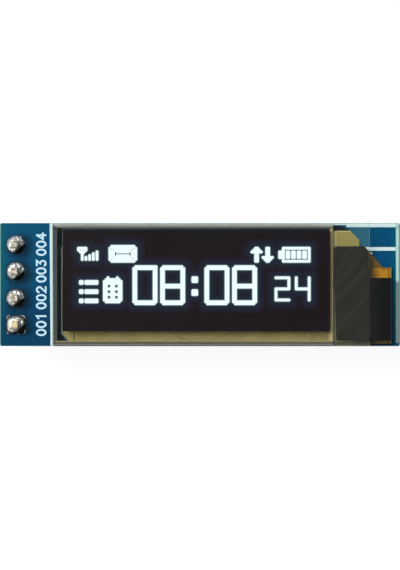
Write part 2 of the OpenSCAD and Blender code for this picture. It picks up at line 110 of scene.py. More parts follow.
class Graph:
    """A node tree, with short calls for the nodes that feed its shader."""

    def __init__(self, tree):
        self.tree = tree

    def feed(self, socket, value):
        """Links a node's output to the socket, or sets its value.

        A colour may be three numbers, 0 to 255, as it is seen.
        """
        if isinstance(value, bpy.types.NodeSocket):
            self.tree.links.new(value, socket)
        elif socket.type == "RGBA" and len(value) == 3:
            socket.default_value = rgb(*value)
        else:
            socket.default_value = value

    def node(self, kind, inputs=None, **settings):
        made = self.tree.nodes.new("ShaderNode" + kind)
        for key, value in settings.items():
            setattr(made, key, value)
        for key, value in (inputs or {}).items():
            self.feed(made.inputs[key], value)
        return made

    def math(self, operation, a, b=0.0):
        made = self.node("Math", {0: a, 1: b}, operation=operation)
        return made.outputs[0]

    def times(self, a, b):
        return self.math("MULTIPLY", a, b)

    def plus(self, a, b):
        return self.math("ADD", a, b)

    def minus(self, a, b):
        return self.math("SUBTRACT", a, b)

    def larger(self, a, b):
        return self.math("MAXIMUM", a, b)

    def off(self, value, middle=0.0):
        """How far value lies from middle, on either side."""
        return self.math("ABSOLUTE", self.minus(value, middle))

    def band(self, value, low, high):
        """0 where value is below low, 1 where it is above high, and smooth between."""
        made = self.node(
            "MapRange",
            {"Value": value, "From Min": low, "From Max": high},
            interpolation_type="SMOOTHSTEP",
        )
        return made.outputs[0]

    def scale(self, value, low, high):
        """value, from 0 to 1, turned into low to high."""
        made = self.node("MapRange", {"Value": value, "To Min": low, "To Max": high})
        return made.outputs[0]

    def mix(self, factor, a, b):
        made = self.node("Mix", {0: factor, 6: a, 7: b}, data_type="RGBA")
        return made.outputs[2]

    def within(self, value, low, high, soft):
        """1 where value lies between low and high, and 0 outside, with soft sides."""
        rise = self.band(value, low - soft, low + soft)
        fall = self.band(value, high + soft, high - soft)
        return self.times(rise, fall)

    def tint(self, tone, other, where, share):
        """tone, gone over to other by share wherever where is 1."""
        return self.mix(self.times(where, share), tone, other)

    def split(self, vector):
        return self.node("SeparateXYZ", {0: vector}).outputs


class Look(Graph):
    """One material: a Principled shader and the patterns that feed it."""

    def __init__(self, name, **values):
        self.material = bpy.data.materials.new(name)
        self.material.use_nodes = True
        super().__init__(self.material.node_tree)
        self.shader = self.tree.nodes["Principled BSDF"]
        coordinates = self.node("TexCoord")
        self.point = coordinates.outputs["Object"]
        self.facing = coordinates.outputs["Normal"]
        self.set(**values)

    def set(self, **values):
        for key, value in values.items():
            self.feed(self.shader.inputs[SOCKETS[key]], value)
        return self

    def axes(self):
        """The point's X, Y and Z in millimetres."""
        return [self.times(part, 1 / MM) for part in self.split(self.point)]

    def from_pin(self, shift_x=0.0, shift_y=0.0):
        """How far the point is along X, along Y and straight from the nearest pin."""
        x, y, _ = self.axes()
        along = self.minus(x, shift_x)
        across = self.minus(y, PINS[0].y + shift_y)
        around_pin = {0: across, 1: PITCH / 2, 2: -PITCH / 2}
        across = self.node("Math", around_pin, operation="WRAP").outputs[0]
        squares = self.plus(self.times(along, along), self.times(across, across))
        return along, across, self.math("SQRT", squares)

    def place(self, size, turn=0.0, seed=0.0):
        """The point, in units of size millimetres along each axis, turned about Z first."""
        sizes = size if isinstance(size, tuple) else (size, size, size)
        made = self.node(
            "Mapping",
            {
                "Vector": self.point,
                "Location": (seed * MM, 0.37 * seed * MM, 0.0),
                "Rotation": (0.0, 0.0, radians(turn)),
                "Scale": tuple(s * MM for s in sizes),
            },
            vector_type="TEXTURE",
        )
        return made.outputs[0]

    def noise(self, size, detail=2.0, turn=0.0, seed=0.0, rough=0.5):
        """A random field, 0 to 1, whose features are about size millimetres across."""
        made = self.node(
            "TexNoise",
            {
                "Vector": self.place(size, turn, seed),
                "Scale": 1.0,
                "Detail": detail,
                "Roughness": rough,
            },
        )
        return made.outputs[0]

    def clouds(self, *size, **settings):
        """The same, as plain patches with soft rims."""
        return self.band(self.noise(*size, **settings), 0.35, 0.7)

    def cells(self, size, seed=0.0):
        """Distance to the nearest of a cloud of random points, size millimetres apart."""
        made = self.node("TexVoronoi", {"Vector": self.place(size, 0.0, seed), "Scale": 1.0})
        return made.outputs["Distance"]

    def grid(self, pitch, tones, line, line_w, inputs=None, **settings):
        """A brick pattern in two tones with lines between, pitch millimetres to a unit."""
        brick = {"Vector": self.place(pitch), "Color1": tones[0], "Color2": tones[1]}
        brick |= {"Mortar": line, "Mortar Size": line_w, "Scale": 1.0}
        return self.node("TexBrick", brick | (inputs or {}), **settings)

    def bump(self, *layers):
        """Joins (height, depth in millimetres) layers into the shader's normal."""
        normal = None
        for height, depth in layers:
            made = self.node("Bump", {"Height": height, "Distance": depth * MM})
            if normal is not None:
                self.feed(made.inputs["Normal"], normal)
            normal = made.outputs[0]
        return self.set(normal=normal)


# ---- materials ----

MASK_DEEP = (0, 71, 114)
MASK_TEAL = (2, 90, 104)
MASK_LOW_SHADE = (0, 54, 86)
MASK_SHADE = (4, 26, 30)

# Where the tape's wide part and the bonded part of the flex circuit end, along Y.
TAPE_TOP = 3.65
FLEX_TOP = 1.7

# Where the printed numbers of the pins end, along X.
NUMBERS_END = 3.15


def solder_mask():
    """Blue lacquer on both faces, and the cut fibreglass on the board's sides."""
    look = Look("solder_mask", specular=0.06)
    x, y, z = look.axes()
    up = look.split(look.facing)[2]
    from_middle = look.off(x, BOARD_MID.x)
    half = (BOARD_HI.x - BOARD_LO.x) / 2
    near_end = look.band(from_middle, half - 1.3, half)
    drift = look.clouds(4.5, 2)
    teal = look.larger(near_end, look.times(drift, 0.35))
    lacquer = look.mix(teal, MASK_DEEP, MASK_TEAL)
    # Painted shade: the lacquer is darker towards the lower side, where less light falls.
    low_side_shade = look.times(look.band(y, 1.5, -4.5), 0.75)
    lacquer = look.mix(low_side_shade, lacquer, MASK_LOW_SHADE)

    # In the shade of the glass: past the sheet's cut corner, and under the left rim.
    face_up = look.band(up, 0.5, 0.6)
    corner = SHEET_HI.x - 0.75 + 2 * SHEET_HI.y
    past_corner = look.plus(x, look.times(y, 2.0))
    beside = look.within(y, SHEET_HI.y, BOARD_HI.y - 0.28, 0.04)
    beside = look.times(beside, look.band(past_corner, corner, corner - 0.1))
    beside = look.times(beside, look.band(x, COVER_HI.x - 0.4, COVER_HI.x - 0.3))
    rim = look.within(x, FRONT_LO.x + 0.3, SHEET_LO.x + 0.2, 0.05)
    shade = look.times(look.larger(beside, rim), face_up)
    lacquer = look.tint(lacquer, MASK_SHADE, shade, 0.95)

    # Darkened round the pins by flux stains and painted shade, and stained by adhesive along the
    # sheet's lower edge.
    header_end = 4.8
    from_pin = look.from_pin(0.3, -0.15)[2]
    ragged = look.plus(from_pin, look.times(look.noise(0.7, 3, seed=31), 0.6))
    flux_and_shade = look.times(look.band(ragged, 2.1, 1.1), face_up)
    aside = look.off(y)
    flux_and_shade = look.times(flux_and_shade, look.band(aside, header_end + 0.3, header_end - 0.3))
    lacquer = look.tint(lacquer, (6, 26, 32), flux_and_shade, 0.7)
    ooze = look.within(x, COVER_HI.x, FRONT_HI.x + 0.1, 0.05)
    ooze = look.times(ooze, look.band(y, SHEET_LO.y + 0.05, SHEET_LO.y))
    lacquer = look.tint(lacquer, (112, 72, 12), look.times(ooze, face_up), 0.9)

    # A painted highlight, pale along the rim; the sides show cloth between two skins of lacquer.
    cut_x = look.band(from_middle, half - 0.14, half - 0.02)
    cut_y = look.band(aside, BOARD_HI.y - 0.12, BOARD_HI.y - 0.02)
    cut = look.larger(cut_x, cut_y)
    painted_light = look.times(cut, look.scale(look.noise(0.5, 3), 0.25, 1.0))
    face = look.tint(lacquer, (120, 176, 184), painted_light, 0.36)
    cloth = look.band(look.noise((0.5, 0.5, 0.05), 3), 0.3, 0.7)
    core = look.mix(cloth, (142, 140, 100), (184, 178, 134))
    depth = (BOARD_HI.z - BOARD_LO.z) / 2
    off_middle = look.off(z, BOARD_MID.z)
    skin = look.band(off_middle, depth - 0.07, depth - 0.04)
    side = look.mix(skin, core, (30, 88, 110))
    flat = look.band(look.off(up), 0.4, 0.6)
    look.set(
        color=look.mix(flat, side, face),
        roughness=look.scale(flat, 0.617, 0.305),
    )
    peel = look.noise(0.12, 2)
    fibres = look.noise((0.25, 0.25, 0.05), 3)
    return look.bump((peel, 0.004), (fibres, 0.01)).material


def raised_mask():
    """The same lacquer where it runs over copper, a little lighter."""
    look = Look("raised_mask", specular=0.25, roughness=0.32)
    drift = look.band(look.noise(2.5, 2, seed=3), 0.3, 0.7)
    look.set(color=look.mix(drift, (14, 92, 130), (22, 104, 134)))
    return look.bump((look.noise(0.1, 2), 0.004)).material


def ink():
    """White screen-printed ink, thin enough for some blue to show."""
    look = Look("ink", specular=0.25, roughness=0.6)
    x, y, _ = look.axes()
    thin = look.band(look.noise(0.35, 3), 0.55, 0.8)
    drift = look.band(look.noise(5.0, 1, seed=5), 0.4, 0.75)
    line = look.mix(thin, (212, 234, 233), (170, 200, 204))
    figure = look.mix(thin, (196, 232, 250), (160, 206, 232))
    shade = look.mix(look.band(x, NUMBERS_END - 0.05, NUMBERS_END + 0.05), figure, line)
    shade = look.tint(shade, (190, 208, 206), drift, 0.4)
    # Painted shade: the line at the board's far end is darker in its lower half, in the shadow of
    # the tape and the folded flex.
    at_end = look.band(x, BOARD_HI.x - 0.5, BOARD_HI.x - 0.4)
    painted_light = look.mix(look.band(y, 0.5, 0.1), (170, 208, 200), (92, 112, 106))
    look.set(color=look.tint(shade, painted_light, at_end, 0.9))
    return look.bump((look.noise(0.06, 2), 0.004)).material


def solder(name, heaped):
    """Bright solder, frosted in places; heaps have scorched flux and painted shade on their lower
    right, and a painted dark ring at their outer edge.
    """
    look = Look(name, metallic=1.0)
    clouds = look.band(look.noise(0.45, 2, seed=7), 0.35, 0.65)
    tone = look.mix(clouds, (248, 248, 242), (218, 216, 206))
    if heaped:
        along, across, from_pin = look.from_pin()
        # Painted shade on the side away from the light, mixed with scorched flux, and a painted
        # dark ring round the heap's outer edge.
        away = look.minus(look.times(along, 0.6), look.times(across, 0.8))
        ragged = look.plus(away, look.times(look.noise(0.35, 3, seed=4), 0.5))
        burnt_flux_and_shade = look.band(ragged, 0.55, 0.8)
        rim = look.times(look.band(from_pin, 0.76, 0.92), 0.92)
        tone = look.mix(look.larger(burnt_flux_and_shade, rim), tone, (44, 38, 32))
    look.set(color=tone, roughness=look.scale(look.noise(0.3, 3, seed=11), 0.3, 0.48))
    grain = look.noise(0.16, 4, rough=0.6)
    return look.bump((grain, 0.024), (look.noise(0.05, 2), 0.005)).material


def plain_look(name, dark, pale, clouds, grain, depth, rough=None, **values):
    """Two tones in clouds, over a fine grain; clouds, grain and rough are noises.

    rough starts with the least and the greatest roughness.
    """
    look = Look(name, **values)
    look.set(color=look.mix(look.noise(*clouds), dark, pale))
    if rough:
        least, most, *field = rough
        look.set(roughness=look.scale(look.noise(*field), least, most))
    return look.bump((look.noise(*grain), depth)).material


def pin_metal():
    """Gold flash on the pins, tinned and dull where they were soldered."""
    look = Look("pin_metal", metallic=1.0)
    _, y, z = look.axes()
    clouds = look.noise(0.22, 3)
    tinned = look.band(z, BOARD_HI.z - 0.2, BOARD_HI.z)
    tin = look.mix(look.band(clouds, 0.4, 0.6), (190, 186, 170), (120, 112, 98))
    first = look.band(y, PINS[0].y + 1, PINS[0].y + 0.9)
    tin = look.mix(first, tin, look.mix(clouds, (206, 194, 160), (172, 158, 122)))
    gold = look.mix(clouds, (244, 208, 128), (232, 190, 106))
    drawn = look.noise((0.05, 0.05, 2.0), 2)
    smooth = look.scale(drawn, 0.18, 0.34)
    rough = look.plus(smooth, look.times(tinned, 0.25))
    look.set(color=look.mix(tinned, gold, tin), roughness=rough)
    return look.bump((drawn, 0.004), (clouds, 0.012)).material


def adhesive_sheet():
    """Olive-tan adhesive sheet, brushed lengthwise, with a painted highlight along its upper edge
    and at its left end, and painted shade along its lower edge.
    """
    look = Look("adhesive_sheet", specular=0.15, roughness=0.55)
    x, y, _ = look.axes()
    streaks = look.noise((2.4, 0.16, 1.0), 3)
    drift = look.clouds(5.0, 2, seed=4)
    near = look.band(x, SHEET_LO.x + 5.5, SHEET_LO.x)
    tone = look.mix(streaks, (206, 190, 126), (224, 208, 142))
    tone = look.tint(tone, (210, 186, 116), drift, 0.5)
    tone = look.tint(tone, (226, 208, 122), near, 0.7)
    beyond = look.band(x, COVER_HI.x, COVER_HI.x + 0.5)
    tone = look.mix(beyond, tone, look.mix(streaks, (146, 126, 44), (160, 138, 56)))
    # Painted highlight along the upper edge and at the left end; painted shade along the lower
    # edge.
    highlit_top_edge = look.band(y, SHEET_HI.y - 0.13, SHEET_HI.y - 0.06)
    tone = look.mix(highlit_top_edge, tone, (200, 186, 112))
    shaded_low_edge = look.band(y, SHEET_LO.y + 0.14, SHEET_LO.y + 0.06)
    tone = look.mix(shaded_low_edge, tone, (58, 52, 24))
    end = look.band(x, SHEET_LO.x + 0.3, SHEET_LO.x + 0.2)
    tone = look.mix(end, tone, (172, 176, 158))
    shaded = look.within(x, COVER_HI.x - 0.05, COVER_HI.x + 0.3, 0.03)
    shaded = look.times(shaded, look.band(y, TAPE_TOP + 0.1, TAPE_TOP - 0.1))
    tone = look.tint(tone, (84, 66, 36), shaded, 0.75)
    seam_at = look.off(x, SHEET_LO.x + 1.2)
    seam = look.band(seam_at, 0.09, 0.03)
    look.set(color=look.tint(tone, (60, 50, 22), seam, 0.75))
    return look.bump((streaks, 0.01), (look.noise(0.08, 2), 0.004)).material


def clear_glass(name, alpha, panel, ledge, flex_glint=None):
    """Glass that is almost clear, with one veil over the panel and one over the ledge, a dark veil
    of painted shade above the sheet's upper right, and, when a tint for it is given, a painted
    reflection of the flex at the glass's end.
    """
    look = Look(name, specular=0.5, alpha=alpha)
    x, y, _ = look.axes()
    smears = look.band(look.noise((6.0, 1.2, 1.0), 3, turn=24, seed=9), 0.4, 0.75)
    tone = look.mix(look.band(x, COVER_HI.x - 0.1, COVER_HI.x + 0.1), panel, ledge)
    # Painted shade: a dark veil over the gap above the sheet's upper right.
    shade_patch = look.band(y, SHEET_HI.y - 0.05, SHEET_HI.y)
    shade_patch = look.times(shade_patch, look.band(x, SHEET_HI.x - 0.6, SHEET_HI.x - 1.2))
    tone = look.mix(shade_patch, tone, (86, 86, 58))
    # Painted reflection: the glass's end takes the flex's colour where it lies over the flex.
    if flex_glint:
        over_flex = look.band(y, FLEX_TOP + 0.2, FLEX_TOP - 0.2)
        at_end = look.band(x, FRONT_HI.x - 0.15, FRONT_HI.x - 0.05)
        tone = look.mix(look.times(over_flex, at_end), tone, flex_glint)
    tone = look.tint(tone, (150, 160, 156), smears, 0.2)
    look.set(color=tone, roughness=look.scale(smears, 0.03, 0.12))
    return look.material


def sealing_resin():
    """Cured resin between the glasses, with a painted highlight along its outer edges and painted
    shade towards the inside.
    """
    look = Look("sealing_resin", specular=0.3, roughness=0.5)
    x, y, _ = look.axes()
    edge = FRONT_HI.y
    # Painted highlight at the outer edge, fading into painted shade towards the panel.
    upper = look.mix(look.band(y, edge - 0.44, edge), (24, 40, 46), (222, 224, 212))
    down = look.times(y, -1.0)
    lower = look.mix(look.band(down, edge - 0.26, edge), (10, 12, 0), (150, 152, 136))
    lower = look.mix(look.band(down, edge - 0.32, edge - 0.26), (150, 140, 92), lower)
    ends = look.mix(look.band(x, 20, 26), (90, 100, 98), (184, 166, 118))
    sides = look.mix(look.band(y, -1, 1), lower, upper)
    along = look.band(look.off(y), edge - 0.47, edge - 0.43)
    tone = look.mix(along, ends, sides)
    bubbles = look.band(look.cells(0.22), 0.22, 0.08)
    drift = look.clouds((1.2, 1.2, 1.0), 3)
    tone = look.tint(tone, (120, 118, 100), drift, 0.2)
    look.set(color=look.tint(tone, (140, 144, 138), bubbles, 0.15))
    return look.bump((bubbles, 0.01)).material


def emitter_stack():
    """The dark grid of dots between the glasses."""
    look = Look("emitter_stack", specular=0.5, roughness=0.2)
    pitch = (AREA_HI.x - AREA_LO.x) / COLUMNS
    tones = ((38, 34, 44), (44, 38, 52))
    square = {"Brick Width": 1.0, "Row Height": 1.0}
    weave = look.grid(pitch, tones, (20, 18, 22), 0.08, square, offset=0.0)
    look.set(color=weave.outputs["Color"])
    return look.bump((weave.outputs["Fac"], 0.002)).material


def polarizer_film():
    """Near-black film over the display, smooth, with faint rubbing marks."""
    look = Look("polarizer_film", specular=0.5)
    y = look.axes()[1]
    drift = look.clouds(6.0, 2, seed=6)
    rubs = look.noise((4.0, 0.06, 1.0), 4, turn=31)
    tone = look.mix(drift, FILM_TONE, (16, 9, 16))
    edge = look.band(y, POL_HI.y - 0.26, POL_HI.y - 0.02)
    look.set(color=look.mix(edge, tone, (16, 38, 48)), roughness=look.scale(rubs, 0.1, 0.17))
    return look.bump((look.noise(0.5, 2), 0.0008)).material


def lit_dots(name, glow):
    """A part of the display's picture, glowing through the film."""
    strength = 1.06 if name == "dot_lit" else 1.0
    look = Look(name, color=FILM_TONE, specular=0.5, roughness=0.13, glow_strength=strength)
    dimmer = tuple(0.93 * c for c in glow[:3]) + (1.0,)
    return look.set(glow=look.mix(look.noise(0.6, 2), dimmer, glow)).material


def silicon():
    """Bare driver die: dark, polished, with a faint grid of its circuits."""
    look = Look("silicon", specular=0.6, metallic=0.3)
    tones = ((62, 66, 78), (74, 76, 86))
    grid = look.grid(0.3, tones, (44, 46, 54), 0.05)
    look.set(color=grid.outputs["Color"], roughness=look.scale(look.noise(0.4), 0.12, 0.25))
    return look.material


def polyimide():
    """Amber film over copper tracks, with painted shade beside the glass and on its lower layer, a
    painted highlight where it turns round the fold, and darker below the tape.
    """
    look = Look("polyimide", specular=0.3, coat=0.08, coat_roughness=0.2)
    x, y, z = look.axes()
    pitch = 0.31
    phase = look.times(y, 2 * pi / pitch)
    tracks = look.band(look.math("SINE", phase), -0.25, 0.35)
    drift = look.clouds(0.7, 3)
    amber = look.mix(drift, (170, 120, 0), (132, 84, 0))
    amber = look.tint(amber, (190, 136, 14), tracks, 0.2)
    # Painted shade beside the glass's edge, and a painted highlight where the film turns round the
    # fold.
    out = look.band(x, FRONT_HI.x, FRONT_HI.x + 1.1)
    upper = look.mix(out, (56, 36, 2), amber)
    turn = look.band(x, TAIL_HI.x - 0.2, TAIL_HI.x - 0.04)
    upper = look.mix(turn, upper, (190, 164, 92))
    # The lower layer, flat on the board, is in painted shade.
    lower = look.mix(tracks, (96, 74, 22), (108, 84, 30))
    tone = look.mix(look.band(z, TAIL_LO.z + 0.5, TAIL_LO.z + 0.16), upper, lower)
    strip = look.band(y, TAPE_LO.y + 0.05, TAPE_LO.y - 0.05)
    look.set(
        color=look.tint(tone, (52, 42, 8), strip, 0.9),
        roughness=look.scale(look.noise(0.3, 2, seed=8), 0.22, 0.36),
    )
    return look.bump((tracks, 0.006), (look.noise(0.15, 2), 0.004)).material


def black_tape():
    """Black light-shield tape, brushed on a slant, with painted shade past the glass, where it lies
    lower.
    """
    look = Look("black_tape", specular=0.2)
    x = look.axes()[0]
    brushed = look.band(look.noise((3.4, 0.42, 1.0), 3, turn=50, rough=0.55), 0.3, 0.7)
    fine = look.noise((1.2, 0.07, 1.0), 3, turn=50, seed=2)
    clouds = look.clouds(1.6, 3, seed=12)
    tone = look.mix(brushed, (24, 23, 20), (38, 38, 31))
    tone = look.tint(tone, (32, 34, 26), clouds, 0.35)
    # Painted shade: darker past the glass, where the tape steps down over the flex.
    beyond = look.band(x, FRONT_HI.x - 0.6, FRONT_HI.x + 1.5)
    look.set(
        color=look.tint(tone, (12, 15, 20), beyond, 0.92),
        roughness=look.scale(fine, 0.5, 0.72),
    )
    return look.bump((brushed, 0.01), (fine, 0.005)).material


def capacitor_ceramic():
    """Tan ceramic with speckles."""
    look = Look("capacitor_ceramic", specular=0.4)
    specks = look.band(look.cells(0.09), 0.3, 0.1)
    tone = look.mix(look.noise(0.4, 3), (160, 120, 82), (186, 148, 106))
    look.set(
        color=look.tint(tone, (120, 86, 56), specks, 0.35),
        roughness=look.scale(look.noise(0.2, 2), 0.35, 0.55),
    )
    return look.bump((look.noise(0.06, 3), 0.005)).material


def resistor_ceramic():
    """Black glaze over a resistor, with white ceramic round its sides."""
    look = Look("resistor_ceramic", specular=0.45)
    up = look.split(look.facing)[2]
    glazed = look.band(look.times(up, -1.0), 0.4, 0.7)
    ceramic = look.mix(look.noise(0.2, 3), (206, 204, 198), (228, 226, 220))
    glaze = look.mix(look.noise(0.3, 2), (20, 20, 24), (34, 34, 38))
    look.set(
        color=look.mix(glazed, ceramic, glaze),
        roughness=look.scale(look.noise(0.25, 2), 0.25, 0.45),
    )
    return look.bump((look.noise(0.08, 2), 0.004)).material


FILM_TONE = (15, 5, 8)

MASK = solder_mask()
RAISED = raised_mask()
INK = ink()
SOLDER = solder("solder_plain", heaped=False)
HEAPED = solder("solder_heaped", heaped=True)
TIN = plain_look(
    "tinned_metal", (206, 205, 200), (232, 231, 226), (0.25, 3), (0.07, 3), 0.006,
    rough=(0.26, 0.5, 0.25, 3), metallic=1.0,
)
# Painted shade: dark discs for the shade inside the vias' open holes.
HOLE_SHADE = plain_look(
    "via_mouth", (4, 16, 24), (10, 30, 40), (0.1, 2), (0.05, 2), 0.004,
    specular=0.2, roughness=0.6,
)
PIN_METAL = pin_metal()
PLASTIC = plain_look(
    "header_plastic", (20, 20, 22), (38, 38, 40), (1.2, 3), (0.09, 3), 0.008,
    rough=(0.36, 0.58, 0.3, 2, 0.0, 2), specular=0.4,
)
SHEET = adhesive_sheet()
FRONT_CLEAR = clear_glass("front_glass_faces", 0.05, (40, 44, 42), (150, 214, 196))
COVER_CLEAR = clear_glass("cover_glass_faces", 0.03, (60, 64, 60), (60, 66, 62))
# Pale edge tone: ground glass, and a painted highlight of light caught in the edges.
GROUND_AND_HIGHLIT = (176, 196, 184)
GLASS_EDGE = clear_glass("glass_edges", 0.55, GROUND_AND_HIGHLIT, GROUND_AND_HIGHLIT, (214, 190, 130))
RESIN = sealing_resin()
FILM = polarizer_film()
POLYIMIDE = polyimide()
TAPE = black_tape()
CERAMIC = capacitor_ceramic()
GLAZE = resistor_ceramic()
EPOXY = plain_look(
    "chip_plastic", (26, 26, 28), (40, 40, 42), (0.5, 2), (0.05, 3), 0.006,
    rough=(0.5, 0.72, 0.05, 3), specular=0.35,
)
DRYING = plain_look(
    "drying_sheet", (196, 192, 180), (222, 219, 208), (0.15, 4), (0.15, 4), 0.02,
    roughness=0.85,
)

# What a spot of the display shows: lit, the soft rim of a lit dot, the dark between two
# lit dots, and the rings of the halo from the inside out.
GLOW_TONES = {
    "dot_lit": (236, 254, 255),
    "dot_rim": (84, 108, 118),
    "dot_gap": (96, 116, 120),
    "halo_1": (4, 32, 46),
    "halo_2": (10, 28, 44),
    "halo_3": (10, 23, 40),
    "halo_4": (9, 16, 33),
    "halo_5": (6, 9, 22),
}
GLOW = {name: lit_dots(name, rgb(*tone)) for name, tone in GLOW_TONES.items()}


# ---- making pieces ----


def add_piece(name, bm, materials, replaced=(), smooth=30.0):
    """Turns a bmesh in millimetres into a piece that rides on the part's one body."""
    bmesh.ops.scale(bm, vec=(MM, MM, MM), verts=bm.verts)
    bmesh.ops.recalc_face_normals(bm, faces=bm.faces)
    mesh = bpy.data.meshes.new(name)
    bm.to_mesh(mesh)
    bm.free()
    mesh.shade_smooth()
    mesh.set_sharp_from_angle(angle=radians(smooth))
    for polygon in mesh.polygons:
        if max(abs(part) for part in polygon.normal) > 0.9999:
            polygon.use_smooth = False
    for material in materials:
        mesh.materials.append(material)
    made = bpy.data.objects.new(name, mesh)
    bpy.context.scene.collection.objects.link(made)
    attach(made, BODY)
    if replaced:
        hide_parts(*replaced)
    return made


def add_block(bm, low, high, bevel):
    """Adds a box whose edges are rounded."""
    verts = bmesh.ops.create_cube(bm, size=1.0)["verts"]
    bmesh.ops.scale(bm, vec=high - low, verts=verts)
    bmesh.ops.translate(bm, vec=(low + high) / 2, verts=verts)
    edges = list({e for v in verts for e in v.link_edges})
    bmesh.ops.bevel(bm, geom=edges, offset=bevel, segments=2, profile=0.5, affect="EDGES")


def add_prism(bm, outline, z0, z1):
    """Adds the solid between z0 and z1 over a closed outline."""
    low = [bm.verts.new((x, y, z0)) for x, y in outline]
    high = [bm.verts.new((x, y, z1)) for x, y in outline]
    bm.faces.new(high)
    bm.faces.new(low[::-1])
    for i, corner in enumerate(low):
        after = (i + 1) % len(low)
        bm.faces.new((corner, low[after], high[after], high[i]))


def stroke_outline(points, width, cap_steps=4):
    """Outline of a line drawn through points with a round pen."""
    steps = [Vector(b) - Vector(a) for a, b in zip(points, points[1:])]
    ways = [s.normalized() for s in steps]
    half = width / 2
    left, right = [], []
    for i, point in enumerate(points):
        before = ways[max(i - 1, 0)]
        after = ways[min(i, len(ways) - 1)]
        middle = (before + after).normalized()
        side = Vector((-middle.y, middle.x)) * (half / max(middle.dot(after), 0.5))
        left.append(Vector(point) + side)
        right.append(Vector(point) - side)

    def cap(centre, way):
        start = atan2(way.y, way.x) + pi / 2
        turns = [start - pi * k / cap_steps for k in range(1, cap_steps)]
        return [Vector(centre) + half * Vector((cos(t), sin(t))) for t in turns]

    return left + cap(points[-1], ways[-1]) + right[::-1] + cap(points[0], -ways[0])


def add_stroke(bm, points, width, z0, z1):
    add_prism(bm, stroke_outline(points, width), z0, z1)


def add_ring(bm, points, width, z0, z1):
    """Adds a line of the given width that runs through points and back to the first."""
    count = len(points)
    corners = [Vector(p) for p in points]
    inner, outer = [], []
    for i, corner in enumerate(corners):
        before = (corner - corners[i - 1]).normalized()
        after = (corners[(i + 1) % count] - corner).normalized()
        middle = (before + after).normalized()
        side = Vector((-middle.y, middle.x)) * (width / 2 / middle.dot(after))
        inner.append(corner + side)
        outer.append(corner - side)
    loops = [(inner, z0), (outer, z0), (outer, z1), (inner, z1)]
    rows = [[bm.verts.new((p.x, p.y, z)) for p in loop] for loop, z in loops]
    for row, following in zip(rows, rows[1:] + rows[:1]):
        for i in range(count):
            after = (i + 1) % count
            bm.faces.new((row[i], row[after], following[after], following[i]))


def rectangle(low, high, margin_x, margin_y):
    """Corners of the rectangle that stands off a box by the two margins."""
    x0, x1 = low.x - margin_x, high.x + margin_x
    y0, y1 = low.y - margin_y, high.y + margin_y
    return [(x0, y0), (x1, y0), (x1, y1), (x0, y1)]


def arc(cx, cy, rx, ry, start, end, steps=9):
    """Points along part of an ellipse, from one angle to another in degrees."""
    angles = [radians(start + (end - start) * k / steps) for k in range(steps + 1)]
    return [(cx + rx * cos(a), cy + ry * sin(a)) for a in angles]


def circle(x, y, radius):
    return arc(x, y, radius, radius, 0, 360, 20)[:-1]


# Plain numerals as pen lines, one unit wide and one and a half high.
OVAL = arc(0.5, 0.75, 0.4, 0.65, 0, 360, 20)[:-1]
NUMERALS = {
    "1": [[(0.2, 1.15), (0.55, 1.4), (0.55, 0.1)]],
    "2": [arc(0.5, 1.02, 0.38, 0.38, 165, -35, 8) + [(0.12, 0.1), (0.9, 0.1)]],
    "3": [[(0.14, 1.4), (0.82, 1.4), (0.44, 0.9)] + arc(0.42, 0.5, 0.4, 0.4, 75, -145, 9)],
    "4": [[(0.66, 1.4), (0.08, 0.5), (0.95, 0.5)], [(0.66, 1.4), (0.66, 0.1)]],
    "7": [[(0.1, 1.4), (0.88, 1.4), (0.4, 0.1)]],
}


def write_number(bm, text, at, advance, height, pen, z0, z1, turn=0.0, flip=False):
    """Draws a number from its lower left corner, turned by turn degrees."""
    scale = height / 1.5
    way = Vector((cos(radians(turn)), sin(radians(turn))))
    up = Vector((-way.y, way.x)) * (-1 if flip else 1)

    def put(i, line):
        return [Vector(at) + way * (i * advance + x * scale) + up * (y * scale) for x, y in line]

    for i, mark in enumerate(text):
        if mark == "0":
            add_ring(bm, put(i, OVAL), pen, z0, z1)
        for k, line in enumerate(NUMERALS.get(mark, [])):
            lift = 0.002 * k * (1 if z1 > z0 else -1)
            add_stroke(bm, put(i, line), pen, z0, z1 + lift)


# ---- board: traces, print and plated holes ----

FRONT_Z = BOARD_HI.z
BACK_Z = BOARD_LO.z
INK_T = 0.014
BACK_INK_T = 0.028
TRACE_T = 0.012


def wavy_line(start, end, width, step=0.35, wobble=0.012):
    """Outline of a straight printed line whose edges waver a little."""
    start, end = Vector(start), Vector(end)
    way = (end - start).normalized()
    side = Vector((-way.y, way.x))
    count = max(2, round((end - start).length / step))
    edges = []
    for s in (1, -1):
        edge = []
        for k in range(count + 1):
            at = start.lerp(end, k / count)
            drift = wobble * noise.noise(Vector((at.x * 1.7, at.y * 1.7, 9.0 * s)))
            edge.append(at + side * s * (width / 2 + drift))
        edges.append(edge)
    return edges[0] + edges[1][::-1]


